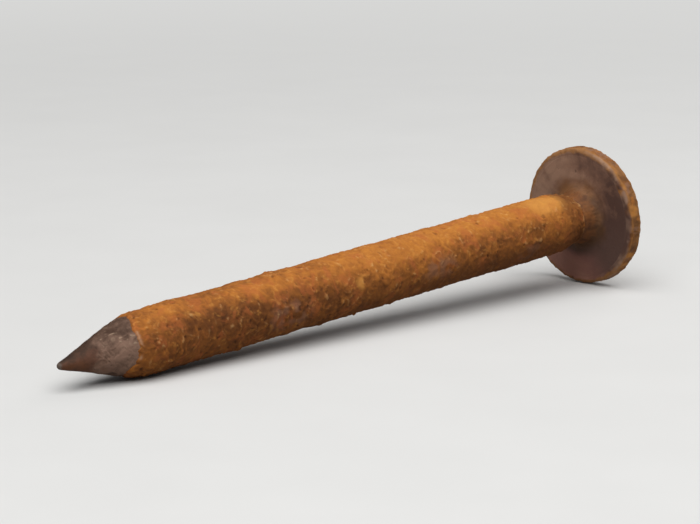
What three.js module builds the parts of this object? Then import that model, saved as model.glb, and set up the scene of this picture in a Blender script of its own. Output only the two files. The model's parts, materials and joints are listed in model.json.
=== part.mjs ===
// A heavy tent stake: a round steel bar with a conical point and a disc head, lying on level ground.
//
// Millimetres, +Z up. The stake's axis lies in the XZ plane, with the point towards -X and the head
// towards +X. The stake rests on the rim of its head and on the shoulder above its point, so the axis
// climbs a little towards the head. The origin is on the ground, under the middle of the bounding box.
//
// Every piece is turned: its outline is given as (radius, place along the axis), with places measured
// from the point, and is revolved about the axis.

import * as THREE from "three";

// The bar, with the place of each change in its outline.
const HEAD_PLACE = 252;
const BAR_RADIUS = 10;
const POINT_LENGTH = 28.5;
const NUB_RADIUS = 1.3;
const NECK_RADIUS = 8;
const NECK_START = HEAD_PLACE - 16;
const NECK_END = HEAD_PLACE - 6;
const SPIGOT_LENGTH = 3;

// The head: a disc of quarter-inch plate, bored for the bar's spigot.
const HEAD_THICKNESS = 6.3;
const HEAD_CHAMFER = 1.2;
const COUNTERSINK_RADIUS = 11.3;
const COUNTERSINK_DEPTH = 3.5;

// Overall radius of the rusted head, and the rounding that hammering and rust gave its edges.
const RIM_RADIUS = 26.4;
const RIM_ROUNDING = 1.4;
const RIM_SCALE_THICKNESS = 0.9;

// The weld round the neck, where the bar meets the underside of the head.
const WELD_TOE_RADIUS = 13.3;
const WELD_TOP_RADIUS = 8.9;
const WELD_TOE_THICKNESS = 0.5;
const BEARING_RADIUS = 14.5;

// The crust of rust on the bar, which stops short of the point and is thinner towards it.
const CRUST_START = 26;
const CRUST_SHOULDER = 32;
const CRUST_EDGE_RADIUS = 9.8;
const CRUST_POINT_RADIUS = 10.8;
const CRUST_HEAD_RADIUS = 11.1;
const CRUST_NECK_RADIUS = 9.1;

// Clearance between neighbouring pieces.
const GAP = 0.3;

const FACETS = 64;
const CURVE_STEPS = 5;

const HEAD_TOP = HEAD_PLACE + HEAD_THICKNESS;
const BORE_RADIUS = NECK_RADIUS + GAP;
const DISC_RADIUS = RIM_RADIUS - RIM_SCALE_THICKNESS - GAP;

const FINISHES = {
  bareSteel: { color: 0x7d6558, roughness: 0.7, metalness: 0.4 },
  headSteel: { color: 0x6e5449, roughness: 0.65, metalness: 0.4 },
  rustyWeld: { color: 0x8a5a35, roughness: 0.85, metalness: 0.1 },
  plugWeld: { color: 0x6a5348, roughness: 0.6, metalness: 0.5 },
  crust: { color: 0xb0682f, roughness: 0.95, metalness: 0 },
  rimScale: { color: 0x9a6a42, roughness: 0.9, metalness: 0 },
};

function outlinePoint(radius, place) {
  return new THREE.Vector2(radius, place);
}

// Points along a quarter turn, or less, of an ellipse about (radius, place).
function arc(radius, place, width, height, startAngle, endAngle) {
  const clockwise = endAngle < startAngle;
  const curve = new THREE.EllipseCurve(radius, place, width, height, startAngle, endAngle, clockwise);
  return curve.getPoints(CURVE_STEPS);
}

function closed(outline) {
  return [...outline, outline[0].clone()];
}

// The first facet is centred on straight up, so another one lies flat on the ground.
function turned(name, outline, finish) {
  const halfFacet = Math.PI / FACETS;
  const geometry = new THREE.LatheGeometry(outline, FACETS, halfFacet, 2 * Math.PI);
  const mesh = new THREE.Mesh(geometry, new THREE.MeshStandardMaterial(finish));
  mesh.name = name;
  return mesh;
}

// Radius of something that follows the bar and narrows at the neck from one radius to another.
function neckedRadius(place, barRadius, neckRadius) {
  const share = THREE.MathUtils.smoothstep(place, NECK_START, NECK_END);
  return THREE.MathUtils.lerp(barRadius, neckRadius, share);
}

function neckPlaces() {
  const places = [];
  for (let step = 0; step <= CURVE_STEPS; step += 1) {
    places.push(THREE.MathUtils.lerp(NECK_START, NECK_END, step / CURVE_STEPS));
  }
  return places;
}

// Half angle of the cone that touches the rounded nub and meets the bar.
function coneHalfAngle() {
  const length = POINT_LENGTH - NUB_RADIUS;
  return Math.atan2(BAR_RADIUS, length) - Math.asin(NUB_RADIUS / Math.hypot(BAR_RADIUS, length));
}

function shankBar() {
  const nub = arc(0, NUB_RADIUS, NUB_RADIUS, NUB_RADIUS, -Math.PI / 2, -coneHalfAngle());
  nub[0].x = 0;
  const neck = neckPlaces().map((place) => outlinePoint(neckedRadius(place, BAR_RADIUS, NECK_RADIUS), place));
  const outline = [
    ...nub,
    outlinePoint(BAR_RADIUS, POINT_LENGTH),
    ...neck,
    outlinePoint(NECK_RADIUS, HEAD_PLACE + SPIGOT_LENGTH),
    outlinePoint(0, HEAD_PLACE + SPIGOT_LENGTH),
  ];
  return turned("shank_bar", outline, FINISHES.bareSteel);
}

// The underside's flat bearing ring begins just outside the weld.
function headDisc() {
  const outline = [
    outlinePoint(BORE_RADIUS, HEAD_PLACE),
    outlinePoint(BEARING_RADIUS, HEAD_PLACE),
    outlinePoint(DISC_RADIUS - HEAD_CHAMFER, HEAD_PLACE),
    outlinePoint(DISC_RADIUS, HEAD_PLACE + HEAD_CHAMFER),
    outlinePoint(DISC_RADIUS, HEAD_TOP - HEAD_CHAMFER),
    outlinePoint(DISC_RADIUS - HEAD_CHAMFER, HEAD_TOP),
    outlinePoint(COUNTERSINK_RADIUS, HEAD_TOP),
    outlinePoint(BORE_RADIUS, HEAD_TOP - COUNTERSINK_DEPTH),
  ];
  return turned("head_disc", closed(outline), FINISHES.headSteel);
}

// A hollow-faced fillet: its section sweeps from the bar out to the underside of the head.
function neckFilletWeld() {
  const width = WELD_TOE_RADIUS - WELD_TOP_RADIUS;
  const height = HEAD_PLACE - GAP - WELD_TOE_THICKNESS - NECK_END;
  const hollow = arc(WELD_TOE_RADIUS, NECK_END, width, height, Math.PI, Math.PI / 2);
  const outline = [
    outlinePoint(BORE_RADIUS, NECK_END),
    ...hollow,
    outlinePoint(WELD_TOE_RADIUS, HEAD_PLACE - GAP),
    outlinePoint(BORE_RADIUS, HEAD_PLACE - GAP),
  ];
  return turned("neck_fillet_weld", closed(outline), FINISHES.rustyWeld);
}

// The weld that fills the countersink over the spigot's end, dressed flush with the striking face.
function headPlugWeld() {
  const slope = (COUNTERSINK_RADIUS - BORE_RADIUS) / COUNTERSINK_DEPTH;
  const sideGap = GAP * Math.hypot(1, slope);
  const bottom = HEAD_PLACE + SPIGOT_LENGTH + GAP;
  const topRadius = COUNTERSINK_RADIUS - sideGap;
  const outline = [
    outlinePoint(0, bottom),
    outlinePoint(topRadius - (HEAD_TOP - bottom) * slope, bottom),
    outlinePoint(topRadius, HEAD_TOP),
    outlinePoint(0, HEAD_TOP),
  ];
  return turned("head_plug_weld", outline, FINISHES.plugWeld);
}

// An open sleeve over the bar, from part way down the point to the weld at the neck.
function shankRustScale() {
  const neckSide = neckPlaces().slice(0, -1);
  const end = NECK_END - GAP;
  const outerBar = neckSide.map(
    (place) => outlinePoint(neckedRadius(place, CRUST_HEAD_RADIUS, CRUST_NECK_RADIUS), place),
  );
  const innerBar = neckSide.map(
    (place) => outlinePoint(neckedRadius(place, BAR_RADIUS, NECK_RADIUS) + GAP, place),
  );
  const coneDrop = (POINT_LENGTH - CRUST_START) * Math.tan(coneHalfAngle());
  const outline = [
    outlinePoint(CRUST_EDGE_RADIUS, CRUST_START),
    outlinePoint(CRUST_POINT_RADIUS, CRUST_SHOULDER),
    ...outerBar,
    outlinePoint(CRUST_NECK_RADIUS, end),
    outlinePoint(BORE_RADIUS, end),
    ...innerBar.reverse(),
    outlinePoint(BAR_RADIUS + GAP, POINT_LENGTH),
    outlinePoint(BAR_RADIUS + GAP - coneDrop, CRUST_START),
  ];
  return turned("shank_rust_scale", closed(outline), FINISHES.crust);
}

// A ring of scale that wraps the edge of the head and thins to a lip at each face.
function rimRustScale() {
  const round = RIM_ROUNDING;
  const undersideEdge = arc(RIM_RADIUS - round, HEAD_PLACE + round, round, round, -Math.PI / 2, 0);
  const topEdge = arc(RIM_RADIUS - round, HEAD_TOP - round, round, round, 0, Math.PI / 2);
  const chamferGap = GAP * Math.SQRT2;
  const lipRadius = DISC_RADIUS - HEAD_CHAMFER + chamferGap;
  const wallRadius = DISC_RADIUS + GAP;
  const chamferHeight = wallRadius - lipRadius;
  const outline = [
    ...undersideEdge,
    ...topEdge,
    outlinePoint(lipRadius, HEAD_TOP),
    outlinePoint(wallRadius, HEAD_TOP - chamferHeight),
    outlinePoint(wallRadius, HEAD_PLACE + chamferHeight),
    outlinePoint(lipRadius, HEAD_PLACE),
  ];
  return turned("rim_rust_scale", closed(outline), FINISHES.rimScale);
}

// Climb of the axis when the crust's shoulder and the rounded rim both touch level ground.
function restingTilt() {
  const along = HEAD_PLACE + RIM_ROUNDING - CRUST_SHOULDER;
  const across = RIM_RADIUS - RIM_ROUNDING - CRUST_POINT_RADIUS;
  return Math.atan2(across, along) + Math.asin(RIM_ROUNDING / Math.hypot(along, across));
}

// Lathes turn about Y, so the inner group swings Y round to +X and the outer group tilts it.
function lyingStake(pieces) {
  const alongX = new THREE.Group();
  alongX.rotation.z = -Math.PI / 2;
  alongX.add(...pieces);
  const lying = new THREE.Group();
  lying.rotation.y = -restingTilt();
  lying.add(alongX);
  return lying;
}

function standOnOrigin(object) {
  const box = new THREE.Box3().setFromObject(object, true);
  const middle = box.getCenter(new THREE.Vector3());
  object.position.sub(new THREE.Vector3(middle.x, middle.y, box.min.z));
}

const lying = lyingStake([
  shankBar(),
  headDisc(),
  neckFilletWeld(),
  headPlugWeld(),
  shankRustScale(),
  rimRustScale(),
]);
standOnOrigin(lying);

const tentStake = new THREE.Group();
tentStake.add(lying);

export default tentStake;
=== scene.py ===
"""A rusted steel tent stake lying on a pale studio floor.

Every piece of the stake is turned about one axis, so a place on it is written as (along, up, front) in
millimetres: along the axis from the point, then across it. Angles go round the axis from straight up
towards the front. Each visible piece is a dense turned skin that follows the outline of its CAD node,
with its relief in the mesh itself.
"""

import functools
import itertools
import json
import math

import bpy
import numpy as np
from mathutils import Matrix, Vector


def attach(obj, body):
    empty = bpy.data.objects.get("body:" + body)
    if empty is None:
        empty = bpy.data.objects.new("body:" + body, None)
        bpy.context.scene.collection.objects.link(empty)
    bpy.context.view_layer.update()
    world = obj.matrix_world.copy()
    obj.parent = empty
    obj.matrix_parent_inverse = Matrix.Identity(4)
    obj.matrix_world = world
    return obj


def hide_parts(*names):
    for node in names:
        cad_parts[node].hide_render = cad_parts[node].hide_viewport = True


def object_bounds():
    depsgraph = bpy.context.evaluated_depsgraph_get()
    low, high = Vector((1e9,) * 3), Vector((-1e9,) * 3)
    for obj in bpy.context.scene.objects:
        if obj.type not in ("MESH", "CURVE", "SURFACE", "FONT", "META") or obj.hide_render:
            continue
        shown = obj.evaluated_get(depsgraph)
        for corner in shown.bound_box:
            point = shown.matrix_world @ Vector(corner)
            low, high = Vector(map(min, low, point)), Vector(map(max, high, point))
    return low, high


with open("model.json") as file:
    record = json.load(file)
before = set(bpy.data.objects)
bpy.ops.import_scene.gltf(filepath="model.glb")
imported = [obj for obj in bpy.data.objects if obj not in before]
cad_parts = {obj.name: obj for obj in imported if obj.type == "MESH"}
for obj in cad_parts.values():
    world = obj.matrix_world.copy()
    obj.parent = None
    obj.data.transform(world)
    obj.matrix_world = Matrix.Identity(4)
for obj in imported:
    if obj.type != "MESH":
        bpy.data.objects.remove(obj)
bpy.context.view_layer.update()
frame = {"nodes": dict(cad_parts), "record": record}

MM = 0.001

# -------- the stake's own frame, from the CAD


def mount(name):
    return next(m for m in frame["record"]["mounts"] if m["name"] == name)


def node_points(name):
    """The corners of a CAD node, in metres."""
    piece = frame["nodes"][name]
    corners = np.empty(len(piece.data.vertices) * 3)
    piece.data.vertices.foreach_get("co", corners)
    turn = np.array(piece.matrix_world.to_3x3())
    return corners.reshape(-1, 3) @ turn.T + np.array(piece.matrix_world.translation)


AXIS = np.array(mount("striking_face")["axis"])
AXIS = AXIS / np.linalg.norm(AXIS)
UP = np.array([-AXIS[2], 0.0, AXIS[0]])
FRONT = np.array([0.0, -1.0, 0.0])
HEAD_TOP_CENTRE = np.array(mount("striking_face")["pos_m"])
STAKE_LENGTH = float(np.max((HEAD_TOP_CENTRE - node_points("shank_bar")) @ AXIS)) / MM
TIP = HEAD_TOP_CENTRE - AXIS * STAKE_LENGTH * MM

# How close two CAD radii in mm have to be to count as the same.
TOLERANCE = 0.01


def cad_rings(name):
    """Place along the axis, smallest radius and largest radius of each ring of a CAD node."""
    from_tip = (node_points(name) - TIP) / MM
    along = from_tip @ AXIS
    radius = np.linalg.norm(from_tip - np.outer(along, AXIS), axis=1)
    rings = {}
    for place, ring_radius in zip(np.round(along, 2), radius):
        low, high = rings.get(place, (ring_radius, ring_radius))
        rings[place] = (min(low, ring_radius), max(high, ring_radius))
    places = sorted(rings)
    low, high = np.array([rings[place] for place in places]).T
    return np.array(places), low, high


def to_world(stake_points):
    return TIP + (stake_points * MM) @ np.stack([AXIS, UP, FRONT])


BAR_PLACES, _, BAR_RADII = cad_rings("shank_bar")
CRUST_PLACES, _, CRUST_RADII = cad_rings("shank_rust_scale")
WELD_PLACES, WELD_INNER, WELD_RADII = cad_rings("neck_fillet_weld")
PLUG_PLACES, _, PLUG_RADII = cad_rings("head_plug_weld")
DISC_PLACES, DISC_INNER, DISC_RADII = cad_rings("head_disc")
RIM_PLACES, RIM_INNER, RIM_RADII = cad_rings("rim_rust_scale")

BAR_RADIUS = BAR_RADII.max()
CONE_LENGTH = BAR_PLACES[np.argmax(BAR_RADII)]
NECK_START = BAR_PLACES[BAR_RADII > BAR_RADIUS - TOLERANCE][-1]
CRUST_START = CRUST_PLACES[0]
CRUST_END = CRUST_PLACES[-1]
WELD_TOE = WELD_RADII.max()
WELD_TOP = WELD_RADII[0]
HEAD_PLACE = DISC_PLACES[0]
HEAD_TOP = DISC_PLACES[-1]
DISC_RADIUS = DISC_RADII.max()
DISC_FLAT = DISC_RADII[0]
SINK_RADIUS = DISC_INNER[-1]
RIM_RADIUS = RIM_RADII.max()
RIM_LIP = RIM_INNER[0]

# -------- repeatable noise

# Odd whole numbers that scramble bits, and how far the bits are shifted between.
CELL_KEYS = (0x9E3779B1, 0x85EBCA77, 0xC2B2AE3D)
SEED_KEY = 0x27D4EB2F
MIX_STEPS = ((15, 0x2C1B3C6D), (12, 0x297A2D39), (15, 1))

# Brings smooth noise from about 0.6 either side of 0 to about 1.
NOISE_GAIN = 1.7

# Each octave of rough noise is this share as high as the one before, with a seed this much higher.
OCTAVE_HEIGHT = 0.55
OCTAVE_SEEDS = 17

# Added to the seed for a flake's value.
VALUE_SEED = 101

# The steep edge's share of a layer, how steep a crag is, and the share of a spot's reach that stays whole.
LEDGE_RISE = 0.25
CRAG_STEEPNESS = 2.6
SPOT_CORE = 0.35


def scrambled(cells, seed):
    """A whole number for each cell of a 3-D grid, the same on every run."""
    mixed = np.uint32((seed * SEED_KEY) & 0xFFFFFFFF)
    for axis, key in enumerate(CELL_KEYS):
        mixed = mixed ^ cells[..., axis].astype(np.int64).astype(np.uint32) * np.uint32(key)
    for shift, key in MIX_STEPS:
        mixed = (mixed ^ (mixed >> np.uint32(shift))) * np.uint32(key)
    return mixed


def chance(cells, seed):
    return scrambled(cells, seed) / 2.0**32


def noise(points, size, seed):
    """Smooth noise from about -1 to 1, with bumps about `size` mm across."""
    scaled = points / size
    corner = np.floor(scaled)
    inside = scaled - corner
    fade = inside**3 * (inside * (inside * 6 - 15) + 10)
    total = np.zeros(points.shape[:-1])
    for offset in itertools.product((0, 1), repeat=3):
        cell = corner + offset
        weight = np.prod(np.where(offset, fade, 1 - fade), axis=-1)
        slope = sum((inside[..., k] - offset[k]) * (chance(cell, 3 * seed + k) * 2 - 1) for k in range(3))
        total += weight * slope
    return total * NOISE_GAIN


def rough_noise(points, size, seed, octaves=3):
    """Noise with finer and finer bumps, each octave half the size of the last."""
    return sum(
        OCTAVE_HEIGHT**k * noise(points, size / 2**k, seed + OCTAVE_SEEDS * k) for k in range(octaves)
    )


def drift(points, size, seed):
    """Three noises, one for each direction, that push a pattern about."""
    return np.stack([noise(points, size, seed + k) for k in range(3)], axis=-1)


def flakes(points, size, seed):
    """Flakes about `size` mm across: how far in from the edge, own value, how far from the middle."""
    scaled = points / size
    corner = np.floor(scaled)
    first = np.full(points.shape[:-1], np.inf)
    second = first.copy()
    value = np.zeros(first.shape)
    for offset in itertools.product((-1, 0, 1), repeat=3):
        cell = corner + offset
        centre = np.stack([chance(cell, 3 * seed + k) for k in range(3)], axis=-1)
        distance = np.linalg.norm(cell + centre - scaled, axis=-1)
        second = np.where(distance < first, first, np.minimum(second, distance))
        value = np.where(distance < first, chance(cell, 3 * seed + VALUE_SEED), value)
        first = np.minimum(first, distance)
    return second - first, value, first


def smooth(value, low, high):
    """0 below low and 1 above high, with an even curve between them."""
    share = np.clip((value - low) / (high - low), 0, 1)
    return share * share * (3 - 2 * share)


def bell(value, middle, width):
    """1 where a value is at middle, falling away within about width on both sides."""
    return np.exp(-(((value - middle) / width) ** 2))


def blots(points, size, seed, low, high):
    """Blots where smooth noise climbs from low to high."""
    return smooth(noise(points, size, seed), low, high)


def layer_climb(layers):
    """How far up its own layer each point is, from 0 to 1."""
    return layers - np.floor(layers)


def ledge(climb):
    """The height of a layer's surface: a steep edge, then a slow fall back."""
    return smooth(climb, 0.0, LEDGE_RISE) - climb


def crags(points, size, seed):
    """Sharp ridges from 0 to 1, along the lines where smooth noise passes through 0."""
    return (1 - np.minimum(np.abs(noise(points, size, seed)) * CRAG_STEEPNESS, 1)) ** 2


# -------- places on the stake


def across_of(points):
    """Distance from the stake's axis."""
    return np.hypot(points[..., 1], points[..., 2])


def angles_of(points):
    return np.degrees(np.arctan2(points[..., 2], points[..., 1])) % 360


def turn_from(angle, middle):
    """How far round an angle is from `middle` degrees, from -180 to 180."""
    return (angle - middle + 180) % 360 - 180


def toward(angle, middle):
    """1 on the side that faces `middle` degrees, 0 a quarter turn from it and -1 on the far side."""
    return np.cos(np.radians(angle - middle))


def side(angle, middle, low, high):
    """From 0 to 1 as toward() goes from low to high."""
    return smooth(toward(angle, middle), low, high)


def spot(along, angle, place, degrees, length, width):
    """1 in the middle of a patch, falling smoothly to 0 at `length` mm along and `width` degrees round."""
    return 1 - smooth(np.hypot((along - place) / length, turn_from(angle, degrees) / width), SPOT_CORE, 1.0)


def spots(along, angle, patches):
    return sum(spot(along, angle, *patch) for patch in patches)


# -------- turned skins

# Each piece's material slot, and the CAD node that it stands for.
PIECES = {
    "stake_bar": ("bare_steel", "shank_bar"),
    "rust_crust": ("rust_crust", "shank_rust_scale"),
    "neck_weld": ("rusty_weld", "neck_fillet_weld"),
    "head_plate": ("head_steel", "head_disc"),
    "rim_scale": ("rim_scale", "rim_rust_scale"),
    "plug_weld": ("plug_weld", "head_plug_weld"),
}

# Each skin's turns, mm between its rows where it shows, and mm where it's hidden.
BAR_MESH = (256, 0.2, 2.0)
CRUST_MESH = (176, 0.4, 30.0)
WELD_MESH = (224, 0.3, 1.5)
PLUG_MESH = (180, 0.3, 1.2)
DISC_MESH = (320, 0.4, 1.5)
RIM_MESH = (420, 0.3, 1.0)


def walk(points, spacing):
    """Points every `spacing` mm or so along straight stretches, leaving out the last one."""
    walked = []
    for start, end in zip(points, points[1:]):
        start, end = np.array(start, float), np.array(end, float)
        steps = max(1, round(float(np.linalg.norm(end - start)) / spacing))
        walked += [start + (end - start) * step / steps for step in range(steps)]
    return walked


def softened(outline, passes, closed=True):
    """An outline with its corners rounded by averaging neighbours."""
    for _ in range(passes):
        before, after = np.roll(outline, 1, axis=0), np.roll(outline, -1, axis=0)
        averaged = (before + 2 * outline + after) / 4
        if not closed:
            averaged[0], averaged[-1] = outline[0], outline[-1]
        outline = averaged
    return outline


def outline_normals(outline, closed):
    tangent = np.roll(outline, -1, axis=0) - np.roll(outline, 1, axis=0)
    if not closed:
        tangent[0], tangent[-1] = (1, 0), (-1, 0)
    tangent /= np.linalg.norm(tangent, axis=1, keepdims=True)
    return np.stack([tangent[:, 1], -tangent[:, 0]], axis=1)


def turned_grid(radius, along, turns):
    """Points of a turned skin, from a radius and a place for every row, or for every point."""
    angle = np.arange(turns) * 2 * math.pi / turns
    radius, along = (value if value.ndim == 2 else value[:, None] for value in (radius, along))
    along = np.broadcast_to(along, (len(radius), turns))
    return np.stack([along, radius * np.cos(angle), radius * np.sin(angle)], axis=-1)


def grid_faces(rows, turns, closed):
    row = np.arange(rows if closed else rows - 1)[:, None]
    column = np.arange(turns)[None, :]
    next_row, next_column = (row + 1) % rows, (column + 1) % turns
    corners = [row * turns + column, row * turns + next_column,
               next_row * turns + next_column, next_row * turns + column]
    return np.stack([np.broadcast_to(c, (len(row), turns)) for c in corners], axis=-1).reshape(-1, 4)


def placed(name, data):
    thing = bpy.data.objects.new(name, data)
    bpy.context.scene.collection.objects.link(thing)
    return thing


def mesh_piece(name, vertices, faces, paint, material):
    """A smooth mesh that stands for a CAD node, with paint values for its material."""
    slot, node = PIECES[name]
    mesh = bpy.data.meshes.new(name)
    mesh.from_pydata(to_world(vertices).tolist(), [], faces)
    mesh.polygons.foreach_set("use_smooth", [True] * len(mesh.polygons))
    for label, values in paint.items():
        layer = mesh.attributes.new(label, "FLOAT", "POINT")
        layer.data.foreach_set("value", np.ascontiguousarray(values, dtype=np.float32).ravel())
    mesh.materials.append(material)
    mesh.update()
    piece = placed(name, mesh)
    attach(piece, "root")
    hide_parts(node)


def ring_piece(name, grid, paint, material):
    """A turned skin whose section closes on itself."""
    faces = grid_faces(*grid.shape[:2], closed=True).tolist()
    mesh_piece(name, grid.reshape(-1, 3), faces, paint, material)


def solid_piece(name, grid, paint, material):
    """A turned skin whose first and last rows are single points on the axis."""
    body = grid[1:-1]
    rows, turns = body.shape[:2]
    vertices = np.concatenate([body.reshape(-1, 3), grid[0, :1], grid[-1, :1]])
    faces = grid_faces(rows, turns, closed=False).tolist()
    first_pole, last_pole = rows * turns, rows * turns + 1
    last_row = (rows - 1) * turns
    for column in range(turns):
        after = (column + 1) % turns
        faces.append([first_pole, after, column])
        faces.append([last_pole, last_row + column, last_row + after])
    body_paint = {
        label: np.concatenate([values[1:-1].ravel(), values[0, :1], values[-1, :1]])
        for label, values in paint.items()
    }
    mesh_piece(name, vertices, faces, body_paint, material)


def turned_piece(name, outline, turns, relief, material, closed=True):
    """A piece whose relief(points, headward) gives how far to move its skin, and its paint.

    headward is how far the skin faces along the axis, from -1 towards the point to 1 out past the head.
    """
    grid = turned_grid(*outline.T, turns)
    normals = outline_normals(outline, closed)
    directions = turned_grid(*normals.T, turns)
    height, paint = relief(grid, directions[..., 0])
    make = ring_piece if closed else solid_piece
    make(name, grid + directions * height[..., None], paint, material)


def raised_over(heights, passes, depth):
    """How far each point stands above its surroundings, from -1 in a hollow to 1 on a bump."""
    around = softened(softened(heights, passes, closed=False).T, passes).T
    return np.clip((heights - around) / depth, -1, 1)


# -------- materials

# A mix's sockets for colours have the same names as those for numbers, so they're found by their order.
MIX_INPUTS = (0, 6, 7)
MIX_OUTPUT = 2


class Shading:
    """A tree of shader nodes being put together."""

    def __init__(self, tree):
        self.tree = tree

    def put(self, socket, value):
        if isinstance(value, bpy.types.NodeSocket):
            self.tree.links.new(value, socket)
        elif isinstance(value, (int, float)):
            socket.default_value = value
        else:
            socket.default_value = (*value, 1.0)

    def fill(self, node, *first, **named):
        """Put a value, or another node's socket, in each of a node's first and named inputs."""
        for socket, value in zip(node.inputs, first):
            self.put(socket, value)
        for label, value in named.items():
            self.put(node.inputs[label.replace("_", " ")], value)
        return node

    def node(self, kind, *first, **named):
        return self.fill(self.tree.nodes.new("ShaderNode" + kind), *first, **named)

    def seen(self):
        """1 for what the camera sees, 0 for how it lights other things."""
        return self.node("LightPath").outputs["Is Camera Ray"]

    def show(self, output, share, first, second):
        """Send two shaders to an output, the second one in this share."""
        mixer = self.node("MixShader", share, first, second)
        self.fill(self.tree.nodes[output], Surface=mixer.outputs["Shader"])


class Finish(Shading):
    """A material, with a short call for each kind of node it uses."""

    def __init__(self, name):
        self.material = bpy.data.materials.new(name)
        self.material.use_nodes = True
        super().__init__(self.material.node_tree)
        self.shader = self.tree.nodes["Principled BSDF"]
        self.place = self.node("TexCoord").outputs["Object"]

    def paint(self, label):
        node = self.node("Attribute")
        node.attribute_name = label
        return node.outputs["Fac"]

    def noise(self, size, detail=4.0, roughness=0.6, distortion=0.0):
        """Cloudy noise from 0 to 1 with patches about `size` mm across."""
        node = self.node("TexNoise", Vector=self.place, Scale=1 / (size * MM))
        self.fill(node, Detail=detail, Roughness=roughness, Distortion=distortion)
        return node.outputs["Fac"]

    def math(self, operation, first, second):
        node = self.node("Math", first, second)
        node.operation = operation
        return node.outputs["Value"]

    def add(self, first, second):
        return self.math("ADD", first, second)

    def times(self, first, second):
        return self.math("MULTIPLY", first, second)

    def total(self, *parts):
        """The sum of some values, each given with its weight."""
        return functools.reduce(self.add, [self.times(value, weight) for value, weight in parts])

    def share(self, value, low, high):
        """How far a value is from low to high, kept between 0 and 1."""
        node = self.node("MapRange", Value=value, From_Min=low, From_Max=high)
        node.interpolation_type = "SMOOTHSTEP"
        return node.outputs["Result"]

    def mix(self, factor, first, second):
        node = self.node("Mix")
        node.data_type = "RGBA"
        for place, value in zip(MIX_INPUTS, (factor, first, second)):
            self.put(node.inputs[place], value)
        return node.outputs[MIX_OUTPUT]

    def coat(self, colour, share, strength, over):
        """A colour with another one over it, at `strength` where share is 1."""
        return self.mix(self.times(share, strength), colour, over)

    def painted(self, colour, *coats):
        """A colour with coats over it, each a paint label, a strength and a colour."""
        for label, strength, over in coats:
            colour = self.coat(colour, self.paint(label), strength, over)
        return colour

    def ramp(self, factor, *stops):
        node = self.node("ValToRGB", Fac=factor)
        elements = node.color_ramp.elements
        while len(elements) < len(stops):
            elements.new(0.5)
        for element, (position, colour) in zip(elements, stops):
            element.position = position
            element.color = (*colour, 1.0)
        return node.outputs["Color"]

    def bump(self, size, depth, detail=3, roughness=0.65):
        """Grain too fine for the mesh, `depth` mm deep."""
        node = self.node("Bump", Distance=depth * MM, Height=self.noise(size, detail, roughness))
        self.fill(self.shader, Normal=node.outputs["Normal"])

    def fade_out(self, colour, near, far):
        """Fade into an even colour, for the camera only, from near to far metres."""
        distance = self.node("VectorMath", self.place)
        distance.operation = "LENGTH"
        share = self.times(self.seen(), self.share(distance.outputs["Value"], near, far))
        glow = self.node("Emission", Color=colour)
        self.show("Material Output", share, self.shader.outputs["BSDF"], glow.outputs["Emission"])

    def done(self, colour, roughness, metallic=0.0, specular=0.3):
        self.fill(self.shader, Base_Color=colour, Roughness=roughness)
        self.fill(self.shader, Metallic=metallic, Specular_IOR_Level=specular)
        return self.material


# Colours, as linear light.
UMBER = (0.09, 0.031, 0.01)
DARK_RUST = (0.17, 0.058, 0.015)
BROWN_RUST = (0.28, 0.096, 0.02)
ORANGE_BROWN = (0.4, 0.14, 0.026)
ORANGE = (0.52, 0.196, 0.034)
OCHRE = (0.64, 0.285, 0.062)
CREAM = (0.66, 0.4, 0.17)
PINK_CREAM = (0.56, 0.33, 0.2)
RED_RUST = (0.44, 0.12, 0.034)
MAUVE = (0.24, 0.118, 0.075)
NECK_BROWN = (0.15, 0.056, 0.019)
STEEL_BROWN = (0.066, 0.034, 0.021)
STEEL_RED = (0.112, 0.05, 0.03)
STEEL_GREY = (0.102, 0.057, 0.038)
STEEL_PALE = (0.215, 0.126, 0.088)
STEEL_CREAM = (0.33, 0.225, 0.152)
STEEL_DARK = (0.04, 0.021, 0.014)
NUB_GREY = (0.13, 0.095, 0.075)
WORN_STEEL = (0.29, 0.22, 0.17)
PATINA = (0.24, 0.128, 0.084)
PATINA_DARK = (0.115, 0.061, 0.046)
PATINA_PALE = (0.39, 0.225, 0.147)
# A pink colour, lighter than the patina as painted light.
PINK_PAINTED_LIGHT = (0.4, 0.17, 0.13)
HALO = (0.21, 0.092, 0.034)
HALO_DARK = (0.1, 0.044, 0.018)
HALO_PALE = (0.27, 0.11, 0.036)
RIM_DARK = (0.13, 0.052, 0.02)
RIM_BROWN = (0.205, 0.088, 0.03)
RIM_OCHRE = (0.28, 0.135, 0.046)
RIM_PALE = (0.38, 0.21, 0.085)
RIM_CREAM = (0.375, 0.235, 0.16)
RIM_TAN = (0.375, 0.166, 0.046)
RIM_ORANGE = (0.52, 0.215, 0.045)


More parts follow.
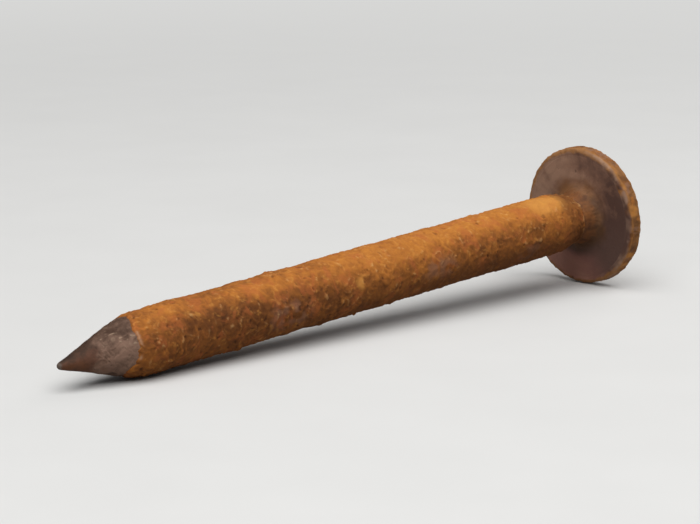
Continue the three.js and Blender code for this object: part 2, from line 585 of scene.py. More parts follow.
def crust_finish():
    look = Finish("rust_crust")
    broad = look.noise(16, detail=3)
    middle = look.noise(5, detail=5, distortion=0.7)
    fine = look.noise(1.9, distortion=0.4)
    # The tone is painted lighter where the rust stands raised and darker in its hollows, as painted
    # highlight and shade, and lighter on the lit top as painted light.
    tone = look.total(
        (middle, 0.32), (fine, 0.2), (broad, 0.22),
        (look.paint("raised"), 0.055), (look.paint("painted_crust_light"), 0.13), (look.paint("pits"), -0.1),
    )
    colour = look.ramp(
        tone, (0.13, UMBER), (0.245, DARK_RUST), (0.34, BROWN_RUST), (0.43, ORANGE_BROWN),
        (0.56, ORANGE), (0.72, OCHRE),
    )
    reddened = look.share(look.noise(6, distortion=0.5), 0.5, 0.64)
    colour = look.coat(colour, reddened, 0.42, RED_RUST)
    yellowed = look.share(look.noise(3.5, distortion=0.8), 0.56, 0.68)
    colour = look.coat(colour, yellowed, 0.3, OCHRE)
    # The last coats add painted shade underneath, and pale flecks that are partly painted highlights.
    colour = look.painted(
        colour, ("mauve", 0.55, MAUVE), ("neck", 0.72, NECK_BROWN), ("ochre_patch", 0.7, OCHRE),
        ("flecks_and_painted_highlights", 0.36, CREAM), ("band", 0.5, PINK_CREAM), ("painted_underside_shade", 0.66, UMBER),
    )
    look.bump(0.9, 0.12, detail=4)
    return look.done(colour, look.add(look.times(fine, 0.2), 0.76), specular=0.13)


def point_finish():
    look = Finish("bare_steel")
    cloud = look.noise(5, distortion=0.6)
    fine = look.noise(1.0, roughness=0.65)
    # The pale paint is painted light: the point is lighter to the front and below and darker along the top.
    pale = look.add(look.paint("pale"), -0.6)
    tone = look.total((cloud, 0.8), (fine, 0.35), (pale, 0.38), (look.paint("facet"), 0.18))
    bare = look.ramp(tone, (0.33, STEEL_DARK), (0.52, STEEL_BROWN), (0.74, STEEL_RED))
    scale = look.ramp(tone, (0.26, STEEL_BROWN), (0.5, STEEL_GREY), (0.78, STEEL_PALE))
    colour = look.painted(
        look.mix(look.paint("scale"), bare, scale),
        ("flecks_and_painted_highlights", 0.8, STEEL_CREAM), ("pits", 0.5, STEEL_DARK), ("stain", 0.4, DARK_RUST),
    )
    colour = look.mix(look.paint("nub"), colour, NUB_GREY)
    look.bump(0.5, 0.05, roughness=0.7)
    return look.done(colour, look.add(look.times(fine, 0.2), 0.62), specular=0.16)


def patina_colour(look):
    """Brown-grey steel under a brown stain, with painted light and shade, and the broad and fine noise that
    break it up.
    """
    cloud = look.noise(11, distortion=0.6)
    fine = look.noise(1.6)
    # The tone is darkened and lightened by the painted light and shade on the underside.
    tone = look.total((cloud, 0.7), (fine, 0.14), (look.paint("arcs"), 0.07), (look.paint("shade"), -0.09))
    bare = look.ramp(tone, (0.26, PATINA_DARK), (0.44, PATINA), (0.66, PATINA_PALE))
    stained = look.ramp(tone, (0.2, HALO_DARK), (0.44, HALO), (0.7, HALO_PALE))
    # A pink patch, lighter than the patina as painted light.
    bare = look.painted(bare, ("pink_and_painted_light", 0.7, PINK_PAINTED_LIGHT))
    return look.mix(look.paint("halo"), bare, stained), cloud, fine


def worn_share(look, cloud, fine):
    """Where the striking face is rubbed bright: its wear, broken up by clouds of rust."""
    broken = look.total((look.add(cloud, -0.5), 0.9), (look.add(fine, -0.5), 0.7))
    return look.share(look.add(look.paint("worn"), broken), 0.3, 0.85)


def rubbed(look, colour, worn):
    """A colour rubbed bright where it's worn, with a dark seam round the plug weld."""
    return look.painted(look.coat(colour, worn, 0.75, WORN_STEEL), ("seam", 0.5, HALO_DARK))


def rubbed_done(look, colour, fine, worn, roughness):
    """The finish of a surface that shines a little more where it's worn."""
    rough = look.add(look.times(fine, 0.2), look.add(look.times(worn, -0.1), roughness))
    return look.done(colour, rough, metallic=look.add(look.times(worn, 0.4), 0.1))


def head_finish():
    look = Finish("head_steel")
    colour, cloud, fine = patina_colour(look)
    colour = look.painted(colour, ("pits", 0.5, STEEL_DARK))
    worn = worn_share(look, cloud, fine)
    look.bump(0.7, 0.05)
    return rubbed_done(look, rubbed(look, colour, worn), fine, worn, 0.55)


def neck_weld_finish():
    look = Finish("rusty_weld")
    colour, _, fine = patina_colour(look)
    tone = look.total((fine, 0.35), (look.noise(4, detail=3, distortion=0.6), 0.6))
    rusted = look.ramp(tone, (0.32, UMBER), (0.46, DARK_RUST), (0.66, BROWN_RUST))
    colour = look.mix(look.paint("rusted"), colour, rusted)
    colour = look.painted(colour, ("pits", 0.5, UMBER))
    look.bump(0.6, 0.08, roughness=0.7)
    return look.done(colour, look.add(look.times(fine, 0.2), 0.55), metallic=0.1)


def plug_weld_finish():
    look = Finish("plug_weld")
    colour, cloud, fine = patina_colour(look)
    worn = worn_share(look, cloud, look.add(fine, look.times(look.paint("raised"), 0.1)))
    colour = look.painted(rubbed(look, colour, worn), ("pits", 0.6, STEEL_DARK))
    look.bump(0.6, 0.06)
    return rubbed_done(look, colour, fine, worn, 0.52)


def rim_finish():
    look = Finish("rim_scale")
    patina, _, fine = patina_colour(look)
    middle = look.noise(5, detail=3, roughness=0.5)
    # Raised scale is painted lighter and its hollows darker, as painted highlight and shade.
    tone = look.total((middle, 0.7), (fine, 0.25), (look.paint("raised"), 0.06))
    scale = look.ramp(
        tone, (0.26, UMBER), (0.36, RIM_DARK), (0.48, RIM_BROWN), (0.6, RIM_OCHRE), (0.76, RIM_PALE),
    )
    rusted = look.share(look.noise(9, detail=3, distortion=0.4), 0.48, 0.58)
    scale = look.coat(scale, rusted, 0.55, BROWN_RUST)
    bared = look.share(look.noise(6, distortion=0.8), 0.54, 0.6)
    scale = look.coat(scale, bared, 0.6, PATINA)
    glowing = look.share(look.noise(4.2, detail=3, distortion=0.8), 0.58, 0.64)
    scale = look.coat(scale, glowing, 0.75, ORANGE_BROWN)
    scale = look.painted(scale, ("glow", 0.75, RIM_ORANGE))
    # The cream coat lays on pale flecks and painted highlights.
    colour = look.painted(
        look.mix(look.paint("under"), scale, patina),
        ("tan", 0.7, RIM_TAN), ("chips", 0.55, UMBER), ("flecks_and_painted_highlights", 0.65, RIM_CREAM),
    )
    look.bump(0.7, 0.08)
    return look.done(colour, look.add(look.times(fine, 0.2), 0.62), metallic=0.05, specular=0.17)


# -------- the bar and its point

# Places in mm along the stake: where the nub's bare metal ends and where the point's thin scale starts.
NUB_END = 1.2
SCALE_START = 13.0

# Patches, here and below: place along the stake, angle, length in mm and width in degrees.
BRIGHT_DASHES = (21, 45, 9, 55)
TIP_STAIN = (8, 120, 12, 60)
# A patch of painted light on the point's upper front.
POINT_LIGHT_PATCH = (24, 66, 6, 30)

# The crust's edge lies about here, and swings along the stake at two angles: angle, width and mm of swing.
EDGE_PLACE = CRUST_START + 0.9
EDGE_SWINGS = [(142, 34, -3.6), (-8, 30, 2.4)]

# The point's skin runs this far on under the crust, in mm.
POINT_OVERLAP = 3


def bar_radius(place):
    return np.interp(place, BAR_PLACES[:-1], BAR_RADII[:-1])


def ragged_edge(angle):
    """Where the crust's edge lies along the stake, in mm, all round it."""
    ring = BAR_RADIUS * np.stack([np.zeros_like(angle), toward(angle, 0), toward(angle, 90)], axis=-1)
    wander = noise(ring, 9, 51) + 0.8 * noise(ring, 3, 52) + 0.6 * noise(ring, 1.2, 53)
    swings = [swing * bell(turn_from(angle, middle), 0, width) for middle, width, swing in EDGE_SWINGS]
    return EDGE_PLACE + wander + sum(swings)


def point_relief(points):
    """Height in mm of the point over a true cone, and its paint: thin scale, facets, flecks and pits."""
    along, angle = points[..., 0], angles_of(points)
    push = drift(points, 4, 22)
    start = SCALE_START + 2.2 * noise(points, 6, 5) + noise(points, 2.2, 6)
    scale = smooth(along + noise(points, 1.2, 7), start - 2.6, start + 1.6)
    climb = layer_climb(1.5 * rough_noise((points + 1.5 * push) * (0.7, 1, 1), 5.0, 8, octaves=2))
    dashes = smooth(noise(points * (0.7, 1.3, 1.3) + 0.5 * push, 1.3, 28), 0.4, 0.7)
    dashes *= smooth(noise(points, 4, 29) + spot(along, angle, *BRIGHT_DASHES), 0.25, 0.9)
    lips = 0.45 * bell(climb, LEDGE_RISE, 0.12) * blots(points, 2.2, 12, 0.2, 0.6)
    flecks = (lips + dashes) * scale
    pits = blots(points, 1.6, 15, 0.62, 0.85)
    border, value, _ = flakes(points * (0.75, 1, 1) + 0.9 * push, 2.7, 25)
    facet = (2 * value - 1) * smooth(border, 0.0, 0.25) * (0.25 + 0.75 * scale)
    height = 0.16 * noise(points, 9, 3) + 0.08 * noise(points, 4, 4) + 0.05 * rough_noise(points, 1.2, 9)
    height += (0.16 * ledge(climb) + 0.1) * scale + 0.11 * facet + 0.08 * flecks - 0.12 * pits
    height *= smooth(along, 0.0, 6.0) * (1 - smooth(along - ragged_edge(angle), -1.6, 0.1))
    return height, {"scale": scale, "flecks_and_painted_highlights": flecks, "pits": pits, "facet": facet}


def point_stains(points):
    """The rust near the tip, the nub's bare metal and the point's painted light: lighter to the front and
    below, darker along the top.
    """
    along, angle = points[..., 0], angles_of(points)
    # Painted light: lighter to the front and below, darker along the top, and lighter in one patch.
    pale = 0.3 + 0.8 * side(angle, 112, -0.1, 0.9)
    pale += 0.8 * spot(along, angle, *POINT_LIGHT_PATCH) * blots(points, 2.6, 27, -0.4, 0.3)
    return {
        "stain": spot(along, angle, *TIP_STAIN) * blots(points, 3, 20, -0.5, 0.5),
        "nub": 1 - smooth(along + 0.3 * noise(points, 0.8, 21), NUB_END - 0.6, NUB_END),
        "pale": pale,
    }


def build_bar():
    """The whole bar, finely meshed on its point and coarsely under the crust."""
    turns, fine, coarse = BAR_MESH
    rings = list(zip(BAR_RADII, BAR_PLACES))
    cone = [(0.0, 0.0)] + [(radius, place) for radius, place in rings[1:] if place <= CONE_LENGTH]
    neck = [(radius, place) for radius, place in rings if place >= NECK_START]
    join, end = (BAR_RADIUS, CONE_LENGTH + POINT_OVERLAP), (0.0, neck[-1][1])
    shown = walk(cone + [join], fine)
    outline = np.array(shown + [join] + walk(neck + [end], coarse) + [end])
    outline[:len(shown)] = softened(outline[:len(shown)], 6, closed=False)

    def relief(points, _):
        height, paint = point_relief(points)
        left = 1 - smooth(points[..., 0], CONE_LENGTH + 1, CONE_LENGTH + POINT_OVERLAP)
        return height * left, {**paint, **point_stains(points)}

    turned_piece("stake_bar", outline, turns, relief, point_finish(), closed=False)


# -------- the crust of rust on the shank

# Rows that round over the crust's edges: mm past its start, and mm before its end.
EDGE_STEPS = [0.0, 0.06, 0.16, 0.3, 0.48, 0.7, 1.0]
END_STEPS = [0.5, 0.25, 0.08, 0.0]

# Over this length in mm, the rows that follow the ragged edge straighten out.
EDGE_REACH = 12

# Ochre patches, the second one broken up, and mauve patches.
TOP_OCHRE_PATCH = (228, 22, 13, 42)
TORN_OCHRE_PATCH = (127, 78, 5, 18)
MAUVE_PATCHES = [(92, 100, 13, 40), (165, 95, 12, 32), (214, 118, 9, 26)]

# Patches of painted light on the rust: how much lighter each is painted, or darker, as painted shade, where
# the number is below 0.
CRUST_LIGHT_PATCHES = [
    (-0.7, (75, 80, 75, 60)), (0.25, (128, 64, 34, 30)),
    (0.7, (77, 38, 28, 34)), (-0.35, (196, 64, 36, 30)),
]
# A patch of painted shade near the point.
CRUST_SHADE_PATCH = (70, 62, 50, 26)


def crust_relief(points):
    """Height in mm of the crust over its mean surface, and its paint."""
    push = drift(points, 5, 41)
    lumps = 0.26 * noise(points, 9, 31) + 0.17 * noise(points, 4.2, 32)
    climb = layer_climb(1.7 * rough_noise((points + 2.2 * push) * (0.8, 1, 1), 6.5, 35))
    flaky = smooth(noise(points, 11, 47) + 0.25 * noise(points, 3, 46), -0.4, 0.25)
    ridges = 0.24 * crags(points + 0.8 * push, 3.6, 36)
    crumbs = 0.45 * smooth(noise(points, 3.2, 39) + 0.2 * noise(points, 9, 40), 0.64, 0.92)
    grain = 0.1 * noise(points, 1.7, 37) + 0.04 * noise(points, 0.9, 38)
    pits = smooth(noise(points, 1.9, 44) + 0.25 * noise(points, 6, 45), 0.64, 0.88)
    height = lumps + 0.26 * ledge(climb) * flaky + ridges + crumbs + grain - 0.28 * pits
    raised = raised_over(height, 14, 0.24)
    # Pale flecks on the highest points, partly painted highlights.
    flecks = smooth(raised + 0.35 * noise(points, 1.6, 49), 0.4, 0.95)
    flecks *= blots(points, 4.5, 48, 0.0, 0.45)
    return height, {"raised": raised, "pits": pits, "flecks_and_painted_highlights": flecks}


def crust_rows(spacing):
    """Places of the crust's rows, closest together at both ends."""
    body = np.arange(CRUST_START + 1.35, CRUST_END - 0.6, spacing)
    return np.concatenate([CRUST_START + np.array(EDGE_STEPS), body, CRUST_END - np.array(END_STEPS)])


def mean_crust_radius(along):
    """The CAD crust's radius with its corners eased, carried on down the point."""
    places = np.arange(CRUST_START - 6, CRUST_END + 0.1, 0.25)
    radii = np.interp(places, CRUST_PLACES, CRUST_RADII)
    below = places < CRUST_START
    radii[below] = bar_radius(places[below]) + CRUST_RADII[0] - bar_radius(CRUST_START)
    return np.interp(along, places, softened(radii[:, None], 30, closed=False)[:, 0])


def crust_skin(turns, spacing):
    """The crust's outer surface and its paint, from its ragged edge to its end at the neck."""
    rows = crust_rows(spacing)[:, None]
    angle = np.arange(turns) * 360 / turns
    bent = 1 - smooth(rows, CRUST_START, CRUST_START + EDGE_REACH)
    along = rows + bent * (ragged_edge(angle) - CRUST_START)
    mean = mean_crust_radius(along)
    points = turned_grid(mean, along, turns)
    height, paint = crust_relief(points)
    from_edge, to_end = rows - CRUST_START, CRUST_END - rows
    broken = bell(to_end, 1.1, 0.6) * (0.35 + 1.1 * noise(points, 2.4, 55))
    groove = bell(to_end, 3.0, 1.0)
    height = height * (0.35 + 0.65 * smooth(from_edge, 0.5, 5)) + 0.3 * broken - 0.18 * groove
    near_edge = rows < (CRUST_START + CRUST_END) / 2
    floor = np.where(near_edge, bar_radius(along) - 0.12, WELD_INNER[0] + 0.05)
    rise, fall = 1 - np.exp(-from_edge / 0.45), smooth(to_end, 0.0, 0.7)
    radius = floor + (mean + height - floor) * np.minimum(rise, fall)
    # The broken edge at the crust's end gets pale flecks as a painted highlight.
    paint["flecks_and_painted_highlights"] = np.clip(paint["flecks_and_painted_highlights"] + 0.8 * smooth(broken, 0.3, 0.75), 0, 1)
    # The groove near the crust's end and its end face are darkened with the pits paint, as painted shade in
    # the crease.
    paint["pits"] = np.clip(paint["pits"] + 0.8 * groove + 0.8 * (1 - smooth(to_end, 0.0, 0.6)), 0, 1)
    paint["band"] = bell(from_edge, 0.6, 0.5) * blots(points, 3.4, 56, 0.0, 0.35)
    paint["band"] *= side(angle, 70, 0.3, 0.9)
    return turned_grid(radius, along, turns), paint


def crust_inside(turns, spacing):
    """The crust's hidden inside, from the neck back to the point."""
    straight = np.arange(NECK_START, CRUST_START + EDGE_REACH, -spacing)
    places = np.concatenate([[CRUST_END - 2], straight, [CRUST_START + 8, CRUST_START + 5]])
    return turned_grid(bar_radius(places) - 0.15, places, turns)


def crust_light_paint(along, angle, near_head):
    """Painted light and shade on the rust: lighter on the top near the head, darker underneath and near the
    point.
    """
    painted_crust_light = side(angle + 10 * near_head, 18, 0.15 + 0.2 * near_head, 0.96) * (0.25 + 0.7 * near_head)
    painted_crust_light -= (0.15 * near_head + 0.1) * side(angle, 110, 0.3, 1.0)
    for lighter, patch in CRUST_LIGHT_PATCHES:
        painted_crust_light += lighter * spot(along, angle, *patch)
    return painted_crust_light - 0.28 * (1 - smooth(along, 90, 135)) * (1 + 0.8 * spot(along, angle, *CRUST_SHADE_PATCH))


def crust_patches(grid):
    """Paint for the crust's ochre patches, mauve patches and dark neck, with painted light on top and
    painted shade underneath.
    """
    along, angle = grid[..., 0], angles_of(grid)
    near_head = smooth(along, 40, 200)
    soft = 0.5 * noise(grid, 5, 61)
    torn = blots(grid, 3.0, 62, -0.35, 0.25)
    ochre_patch = spot(along, angle, *TOP_OCHRE_PATCH) * (0.9 + soft) + 0.8 * spot(along, angle, *TORN_OCHRE_PATCH) * torn
    wander = 1.5 * noise(grid, 4, 63) + 0.8 * noise(grid, 1.5, 64)
    neck = smooth(along + wander, NECK_START - 2.5, NECK_START)
    # Painted shade: an umber coat along the underside, heavier towards the head.
    painted_underside_shade = smooth(0.3 * near_head - toward(angle, 8), 0.0, 0.85) * (0.8 + soft) * (0.6 + 0.9 * near_head)
    return {
        "ochre_patch": np.clip(ochre_patch, 0, 1),
        "mauve": np.clip(spots(along, angle, MAUVE_PATCHES) * torn, 0, 1),
        "neck": neck * (0.45 + 0.7 * side(angle, -5, 0.25, 0.85)),
        "painted_crust_light": crust_light_paint(along, angle, near_head),
        "painted_underside_shade": np.clip(painted_underside_shade, 0, 1),
    }


def build_crust():
    turns, fine, coarse = CRUST_MESH
    skin, skin_paint = crust_skin(turns, fine)
    inside = crust_inside(turns, coarse)
    grid = np.concatenate([skin, inside])
    bare = np.zeros(inside.shape[:2])
    paint = {label: np.concatenate([values, bare]) for label, values in skin_paint.items()}
    paint.update(crust_patches(grid))
    ring_piece("rust_crust", grid, paint, crust_finish())


# -------- rust, wear, and painted light and shade on the head

# A pale patch near the underside's edge: distance from the axis, angle, length in mm and width.
EDGE_PATCH = (22.5, 322, 2.6, 10)

# Blows rub the striking face out to about this distance from the axis, in mm.
WEAR_REACH = 26


def patina_arcs(points):
    """Faint rings about the stake's axis."""
    across = across_of(points)[..., None]
    round_axis = points[..., 1:] / np.maximum(across, 0.1)
    return rough_noise(np.concatenate([1.6 * across, 6 * round_axis], axis=-1), 4.0, 109, octaves=2)


def stain_paint(points):
    """Paint for the weld's brown stain, the patina's rings, a pink patch painted lighter, and painted light
    and shade.
    """
    across, angle = across_of(points), angles_of(points)
    edge = WELD_TOE - 0.8 + 1.8 * noise(points, 8, 105) + 0.8 * noise(points, 2.5, 106)
    # Painted shade to the lower front and, as the shank's painted shadow, below the neck; painted light to
    # the upper back, low at the back and round the stain; and a pale patch near the edge.
    shade = 1.6 * side(angle, 118, -0.4, 0.95)
    shade -= 1.7 * side(angle, -60, 0.0, 0.95)
    shade -= 3.4 * side(angle, 220, 0.45, 1.0) * smooth(across, 14, 20)
    shade -= 1.1 * side(angle, 40, 0.0, 0.8) * bell(across, 15, 2.6)
    shade += 2.2 * side(angle, 122, 0.7, 1.0) * smooth(across, 13, 17)
    shade += 1.6 * side(angle, 160, 0.3, 1.0) * (1 - smooth(across, 13, 19))
    shade -= 3.0 * spot(across, angle, *EDGE_PATCH)
    return {
        "halo": 1 - smooth(across, edge - 2.0, edge + 3.8),
        # A pink patch low at the back, painted lighter than the patina as painted light.
        "pink_and_painted_light": side(angle, 215, 0.2, 0.95) * smooth(across + noise(points, 5, 111), 13, 18),
        "shade": shade,
        "arcs": patina_arcs(points),
    }


def disc_waves(points):
    """Height in mm of the head's forged faces over a true plane."""
    return 0.1 * noise(points, 11, 101) + 0.05 * rough_noise(points, 4, 102)


def struck(points):
    """Height in mm of the striking face over a true plane: round dents left by blows."""
    _, value, from_middle = flakes(points * (0, 1, 1), 6.5, 91)
    dents = (1 - smooth(from_middle, 0.05, 0.62)) * (0.4 + value)
    return disc_waves(points) - 0.26 * dents + 0.08 * noise(points, 3, 104)


def face_wear(points):
    """How bright blows have rubbed the striking face, from 0 to 1."""
    patchy = 0.75 + 0.45 * noise(points, 8, 112) + 0.3 * noise(points, 2.5, 113)
    return smooth(patchy - across_of(points) / WEAR_REACH, 0.1, 0.9)


def plug_seam(points):
    """The worn seam where the plug weld runs into the head: 1 on its line, 0 away from it."""
    across = across_of(points) + 0.8 * noise(points, 3, 83) + 0.5 * noise(points, 7, 88)
    return bell(across, SINK_RADIUS + 0.2, 0.8) * blots(points, 4, 89, -0.6, 0.3)


# -------- the welds

BEAD_DEGREES = 10

# The neck weld's skin runs this far past the CAD weld's toe, and its hollow face has this many points.
TOE_SPREAD = 2.0
HOLLOW_STEPS = 30

# The plug weld's skin laps over the countersink's edge, to this radius, and bulges by this many mm.
PLUG_BRIM = SINK_RADIUS + 1.4
PLUG_CROWN = 0.2


def weld_relief(points, headward):
    """Height in mm of the neck weld's beads, which run out into the head's waves, and its paint."""
    across, angle = across_of(points), angles_of(points)
    beads = np.abs((angle / BEAD_DEGREES + 0.8 * noise(points, 7, 71)) % 1 - 0.5) * 2
    pits = blots(points, 1.6, 74, 0.62, 0.85)
    height = 0.08 * (1 - beads**2) + 0.25 * noise(points, 5, 72) + 0.09 * rough_noise(points, 2.0, 73)
    spread = smooth(across, WELD_TOE - 2.8, WELD_TOE - 0.4)
    height = (height - 0.2 * pits) * (1 - spread) + disc_waves(points) * spread
    rusted = 0.8 - 0.8 * smooth(across + noise(points, 2.5, 75), WELD_TOP + 0.3, WELD_TOP + 2.4)
    paint = {"pits": pits * (1 - spread), "rusted": rusted, **stain_paint(points)}
    return height * smooth(-headward, 0.1, 0.5), paint


def build_neck_weld():
    """A hollow-faced fillet that runs out flat on to the head's underside."""
    turns, fine, coarse = WELD_MESH
    start, bore = WELD_PLACES[0], WELD_INNER.min()
    toe, toe_place = WELD_TOE + TOE_SPREAD, HEAD_PLACE + 0.04
    out = np.linspace(0, 1, HOLLOW_STEPS)
    hollow = list(zip(WELD_TOP + (toe - WELD_TOP) * out, toe_place - (toe_place - start) * (1 - out) ** 4))
    back = [hollow[-1], (toe - 0.3, toe_place + 0.5), (bore, toe_place + 0.5), (bore - 0.4, start - 0.6)]
    loop = walk([back[-1]] + hollow, fine) + walk(back, coarse)
    outline = softened(np.array(loop), 2)
    turned_piece("neck_weld", outline, turns, weld_relief, neck_weld_finish())


def plug_relief(points, headward):
    """Height in mm of the plug weld, rippled and struck, and its paint."""
    radius, angle = across_of(points), angles_of(points)
    inside = 1 - smooth(radius, PLUG_BRIM - 3.5, PLUG_BRIM - 0.8)
    ripples = np.sin(radius * 2.4 + np.radians(angle) + 1.6 * noise(points, 5, 81))
    own = 0.05 * ripples + 0.1 * rough_noise(points, 3.0, 82)
    uneven = 0.12 * noise(points, 3.5, 87) * smooth(radius, PLUG_BRIM - 5, PLUG_BRIM - 1.4)
    pits = blots(points, 1.7, 84, 0.6, 0.85)
    height = (struck(points) + own * inside + uneven - 0.2 * pits * inside) * smooth(headward, 0.2, 0.9)
    return height, {
        "raised": raised_over(height, 8, 0.15),
        "pits": pits,
        "seam": plug_seam(points),
        "worn": face_wear(points),
        "halo": 0.6 * blots(points, 5, 85, -0.1, 0.5),
        "shade": 0.4 * noise(points, 6, 86),
        "arcs": patina_arcs(points),
        "pink_and_painted_light": np.zeros(radius.shape),
    }


def build_plug_weld():
    """The weld that fills the countersink, hammered almost flush with the striking face."""
    turns, fine, coarse = PLUG_MESH
    bottom, low_radius = PLUG_PLACES[0], PLUG_RADII[0]
    brim, crown = (PLUG_BRIM, HEAD_TOP - 0.16), (0, HEAD_TOP + PLUG_CROWN)
    below = walk([(0, bottom), (low_radius, bottom), brim], coarse)
    face = walk([brim, (PLUG_BRIM - 2.4, HEAD_TOP + 0.06), crown], fine)
    outline = np.array(below + face + [crown])
    shown = slice(len(below) - 2, None)
    outline[shown] = softened(outline[shown], 3, closed=False)
    turned_piece("plug_weld", outline, turns, plug_relief, plug_weld_finish(), closed=False)


# -------- the head

# Bright rust on the rim, as patches, and a painted highlight on its upper front corner.
RIM_PATCHES = [
    (HEAD_PLACE + 0.6, 40, 3.0, 7), (HEAD_PLACE + 0.4, 60, 2.4, 7), (HEAD_PLACE + 2.6, 78, 3.4, 9),
    (HEAD_PLACE + 3.0, 119, 3.4, 7), (HEAD_PLACE + 3.0, 131, 3.0, 5), (HEAD_PLACE + 3.4, 300, 3.0, 12),
    (HEAD_PLACE + 2.4, 215, 3.0, 9),
]
RIM_HIGHLIGHT_PATCH = (HEAD_PLACE, 30, 9, 15)


def disc_relief(points, headward):
    """Height in mm of the plate's two faces, and their paint."""
    radius = across_of(points)
    under, over = smooth(-headward, 0.3, 0.9), smooth(headward, 0.3, 0.9)
    pits = smooth(noise(points, 1.8, 103) + 0.3 * noise(points, 7, 110), 0.7, 0.9)
    height = under * disc_waves(points) + over * struck(points) - 0.1 * pits * np.clip(under + over, 0, 1)
    height *= 1 - under * smooth(radius, DISC_FLAT - 2.0, DISC_FLAT - 0.8)
    edge_rust = smooth(radius + 2.4 * noise(points, 6, 107), DISC_RADIUS - 4.5, DISC_RADIUS + 0.5)
    rust_spots = 0.8 * blots(points, 7, 108, 0.35, 0.6)
    paint = stain_paint(points)
    paint["halo"] = under * paint["halo"] + over * np.clip(edge_rust + rust_spots, 0, 1)
    paint["shade"] *= under
    paint["pink_and_painted_light"] *= under
    paint.update(pits=pits, worn=over * face_wear(points), seam=over * plug_seam(points))
    return height, paint


def build_disc():
    turns, fine, coarse = DISC_MESH
    corners = list(zip(DISC_RADII, DISC_PLACES))
    bore = DISC_INNER.min()
    bore_end = DISC_PLACES[np.argmax(DISC_INNER > bore + TOLERANCE) - 1]
    bore_start, sink = (bore, HEAD_PLACE), (SINK_RADIUS, HEAD_TOP)
    loop = walk([bore_start, corners[0]], fine) + walk(corners, fine) + walk([corners[-1], sink], fine)
    loop += walk([sink, (bore, bore_end), bore_start], coarse)
    outline = softened(np.array(loop), 1)
    turned_piece("head_plate", outline, turns, disc_relief, head_finish())


def rim_paint(points, headward):
    """Where the rim shows the underside's patina, tan lines, bright rust, pale flecks and painted
    highlights.
    """
    along, angle = points[..., 0], angles_of(points)
    wander = 0.18 * noise(points, 3, 130)
    lean = wander - headward
    radius = across_of(points) + 3 * wander
    front = side(angle, 75, 0.0, 0.8)
    upper_ring = smooth(radius, RIM_RADIUS - 2.0, RIM_RADIUS - 1.2) * side(angle, 325, 0.1, 0.7)
    lower_ring = smooth(radius, RIM_RADIUS - 1.7, RIM_RADIUS - 0.9) * side(angle, 200, 0.0, 0.7)
    ring = (upper_ring + 0.8 * lower_ring) * smooth(-headward, 0.1, 0.5)
    far_line = bell(lean, -0.62, 0.22) * blots(points, 4, 132, -0.5, 0.2)
    tan_lines = bell(np.abs(headward) + wander, 0.3, 0.22) + 1.3 * ring + 1.2 * far_line
    flecks = bell(lean, 0.8, 0.24) * side(angle, 80, 0.0, 0.8)
    flecks *= blots(points, 5.5, 126, -0.25, 0.3)
    # A painted highlight on the lip at the upper front corner.
    flecks += 1.2 * bell(lean, 0.65, 0.3) * spot(along, angle, *RIM_HIGHLIGHT_PATCH)
    # A pale line on the lip low down, painted lighter as painted light.
    low_lip = bell(lean, 0.3, 0.3) * blots(points, 3.2, 134, -0.5, 0.2)
    flecks += low_lip * side(angle, 170, 0.8, 0.97)
    glow = spots(along, angle, RIM_PATCHES) * smooth(noise(points * (0.5, 1, 1), 2.4, 133), -0.45, 0.15)
    glow = np.clip(glow, 0, 1)
    under = smooth(lean, 0.15 + 0.45 * front, 0.45 + 0.5 * front) * (1 - 0.7 * glow)
    return {"under": under, "tan": np.clip(tan_lines, 0, 1), "glow": glow, "flecks_and_painted_highlights": flecks}


def rim_relief(points, headward):
    """Height in mm of the rim's lumps, crags and chips, and its paint."""
    radius = across_of(points)
    shown = smooth(radius, RIM_LIP - 0.2, RIM_LIP + 0.8)
    shown *= smooth(radius + 5 * np.abs(headward), DISC_RADIUS, DISC_RADIUS + 0.4)
    lumps = 0.2 * noise(points, 7, 121) + 0.14 * noise(points, 3.2, 120)
    ridges = 0.22 * crags(points + 0.8 * drift(points, 4, 122), 4.0, 127)
    grain = 0.06 * noise(points, 1.3, 125)
    chips = smooth(noise(points, 2.4, 129) + 0.3 * noise(points, 7, 131), 0.5, 0.75) * shown
    height = (lumps + ridges + grain) * shown - 0.26 * chips
    paint = {**rim_paint(points, headward), **stain_paint(points)}
    scattered = 0.5 * blots(points, 1.8, 128, 0.6, 0.85) * shown
    paint["flecks_and_painted_highlights"] = np.clip(paint["flecks_and_painted_highlights"] + scattered, 0, 1)
    paint.update(raised=raised_over(height, 8, 0.18), chips=chips)
    return height, paint


def build_rim():
    """The scale that wraps the head's edge, with lips that thin out on to both faces."""
    turns, fine, coarse = RIM_MESH
    widest = np.minimum(np.maximum.accumulate(RIM_RADII), np.maximum.accumulate(RIM_RADII[::-1])[::-1])
    lip, thin, deep = DISC_FLAT + 0.2, DISC_FLAT - 0.8, DISC_RADIUS - 0.3
    shown = [(thin, HEAD_PLACE + 0.08), (lip, HEAD_PLACE - 0.01), *zip(widest, RIM_PLACES)]
    shown += [(lip, HEAD_TOP + 0.01), (thin, HEAD_TOP - 0.08)]
    hidden = [shown[-1], (thin, HEAD_TOP - 0.6), (deep, HEAD_TOP - 1.8)]
    hidden += [(deep, HEAD_PLACE + 1.8), (thin, HEAD_PLACE + 0.6), shown[0]]
    loop = walk(shown, fine) + walk(hidden, coarse)
    outline = softened(np.array(loop), 2)
    turned_piece("rim_scale", outline, turns, rim_relief, rim_finish())


# -------- studio

BACKDROP = (0.68, 0.68, 0.67)
FLOOR_TINTS = ((0.66, 0.655, 0.64), (0.7, 0.695, 0.68))
FLOOR_BOUNCE = (0.4, 0.395, 0.385)
FLOOR_ROUGHNESS = 0.85
SURROUND = (0.9, 0.95, 1.0)
SURROUND_STRENGTH = 0.1

# In metres: the floor's reach, and where it starts and ends fading into the backdrop.
FLOOR_REACH = 9.0
FADE_START = 0.35
FADE_END = 1.3

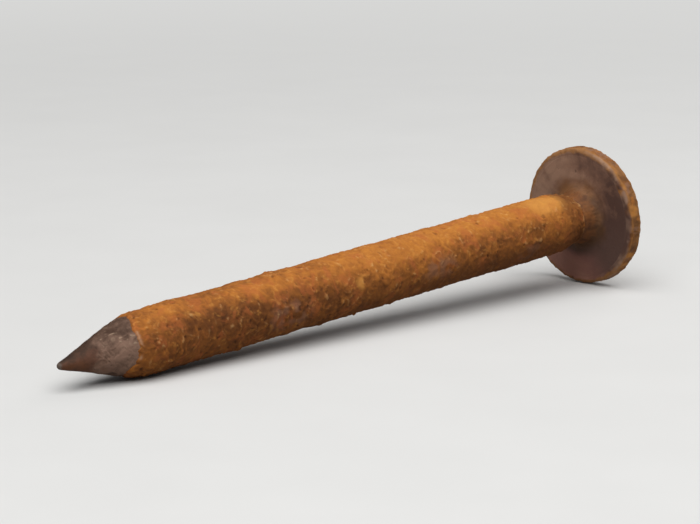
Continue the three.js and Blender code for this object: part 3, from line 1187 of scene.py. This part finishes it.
# Softboxes that face the middle of the stake: place from it and width, in metres, and power in watts.
SOFTBOXES = {
    "key": ((-0.55, -0.75, 2.2), 3.2, 96),
    "fill": ((2.3, 0.35, 1.1), 1.6, 14),
}


def build_floor(height):
    """A pale floor that throws back less light than it shows."""
    look = Finish("floor")
    tint = look.mix(look.noise(60, detail=2), *FLOOR_TINTS)
    material = look.done(look.mix(look.seen(), FLOOR_BOUNCE, tint), FLOOR_ROUGHNESS)
    look.fade_out(BACKDROP, FADE_START, FADE_END)
    mesh = bpy.data.meshes.new("floor")
    sides = [(-1, -1), (1, -1), (1, 1), (-1, 1)]
    mesh.from_pydata([(x * FLOOR_REACH, y * FLOOR_REACH, height) for x, y in sides], [], [(0, 1, 2, 3)])
    mesh.materials.append(material)
    placed("floor", mesh)


def add_softbox(name, offset, width, power):
    data = bpy.data.lights.new(name, "AREA")
    data.size = width
    data.energy = power
    light = placed(name, data)
    light.location = Vector(TIP + AXIS * STAKE_LENGTH * MM / 2) + Vector(offset)
    light.rotation_euler = (-Vector(offset)).to_track_quat("-Z", "Y").to_euler()
    light.visible_camera = False


def light_studio():
    """A large softbox overhead, a weak one facing the head, and a dim surround."""
    world = bpy.data.worlds.new("studio")
    world.use_nodes = True
    sky = Shading(world.node_tree)
    shown = world.node_tree.nodes["Background"]
    sky.fill(shown, Color=BACKDROP)
    dim = sky.node("Background", Color=SURROUND, Strength=SURROUND_STRENGTH)
    sky.show("World Output", sky.seen(), dim.outputs["Background"], shown.outputs["Background"])
    bpy.context.scene.world = world
    for name, settings in SOFTBOXES.items():
        add_softbox(name, *settings)


# The camera's lens and sensor in mm, and where the head is from it in metres.
CAMERA_AZIMUTH = math.radians(-43.65)
CAMERA_ELEVATION = math.radians(11.31)
CAMERA_LENS = 135.0
CAMERA_SENSOR = 36.0
HEAD_DEPTH = 1.0097
HEAD_RIGHT = 0.0879
HEAD_ABOVE = 0.0177


def add_camera():
    """A long-lens view from in front of the point, placed by where the head lies in it."""
    data = bpy.data.cameras.new("camera")
    data.lens = CAMERA_LENS
    data.sensor_width = CAMERA_SENSOR
    camera = placed("camera", data)
    right = Vector((math.cos(CAMERA_AZIMUTH), math.sin(CAMERA_AZIMUTH), 0))
    level = Vector((math.sin(CAMERA_AZIMUTH), -math.cos(CAMERA_AZIMUTH), 0))
    back = math.cos(CAMERA_ELEVATION) * level + math.sin(CAMERA_ELEVATION) * Vector((0, 0, 1))
    above = back.cross(right)
    head = Vector(TIP + AXIS * HEAD_PLACE * MM)
    camera.location = head - HEAD_RIGHT * right - HEAD_ABOVE * above + HEAD_DEPTH * back
    camera.rotation_euler = Matrix((right, above, back)).transposed().to_euler()
    bpy.context.scene.camera = camera


build_bar()
build_crust()
build_neck_weld()
build_disc()
build_rim()
build_plug_weld()

visual_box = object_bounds()
build_floor(visual_box[0].z)
light_studio()
add_camera()
bpy.context.scene.view_settings.view_transform = "Standard"
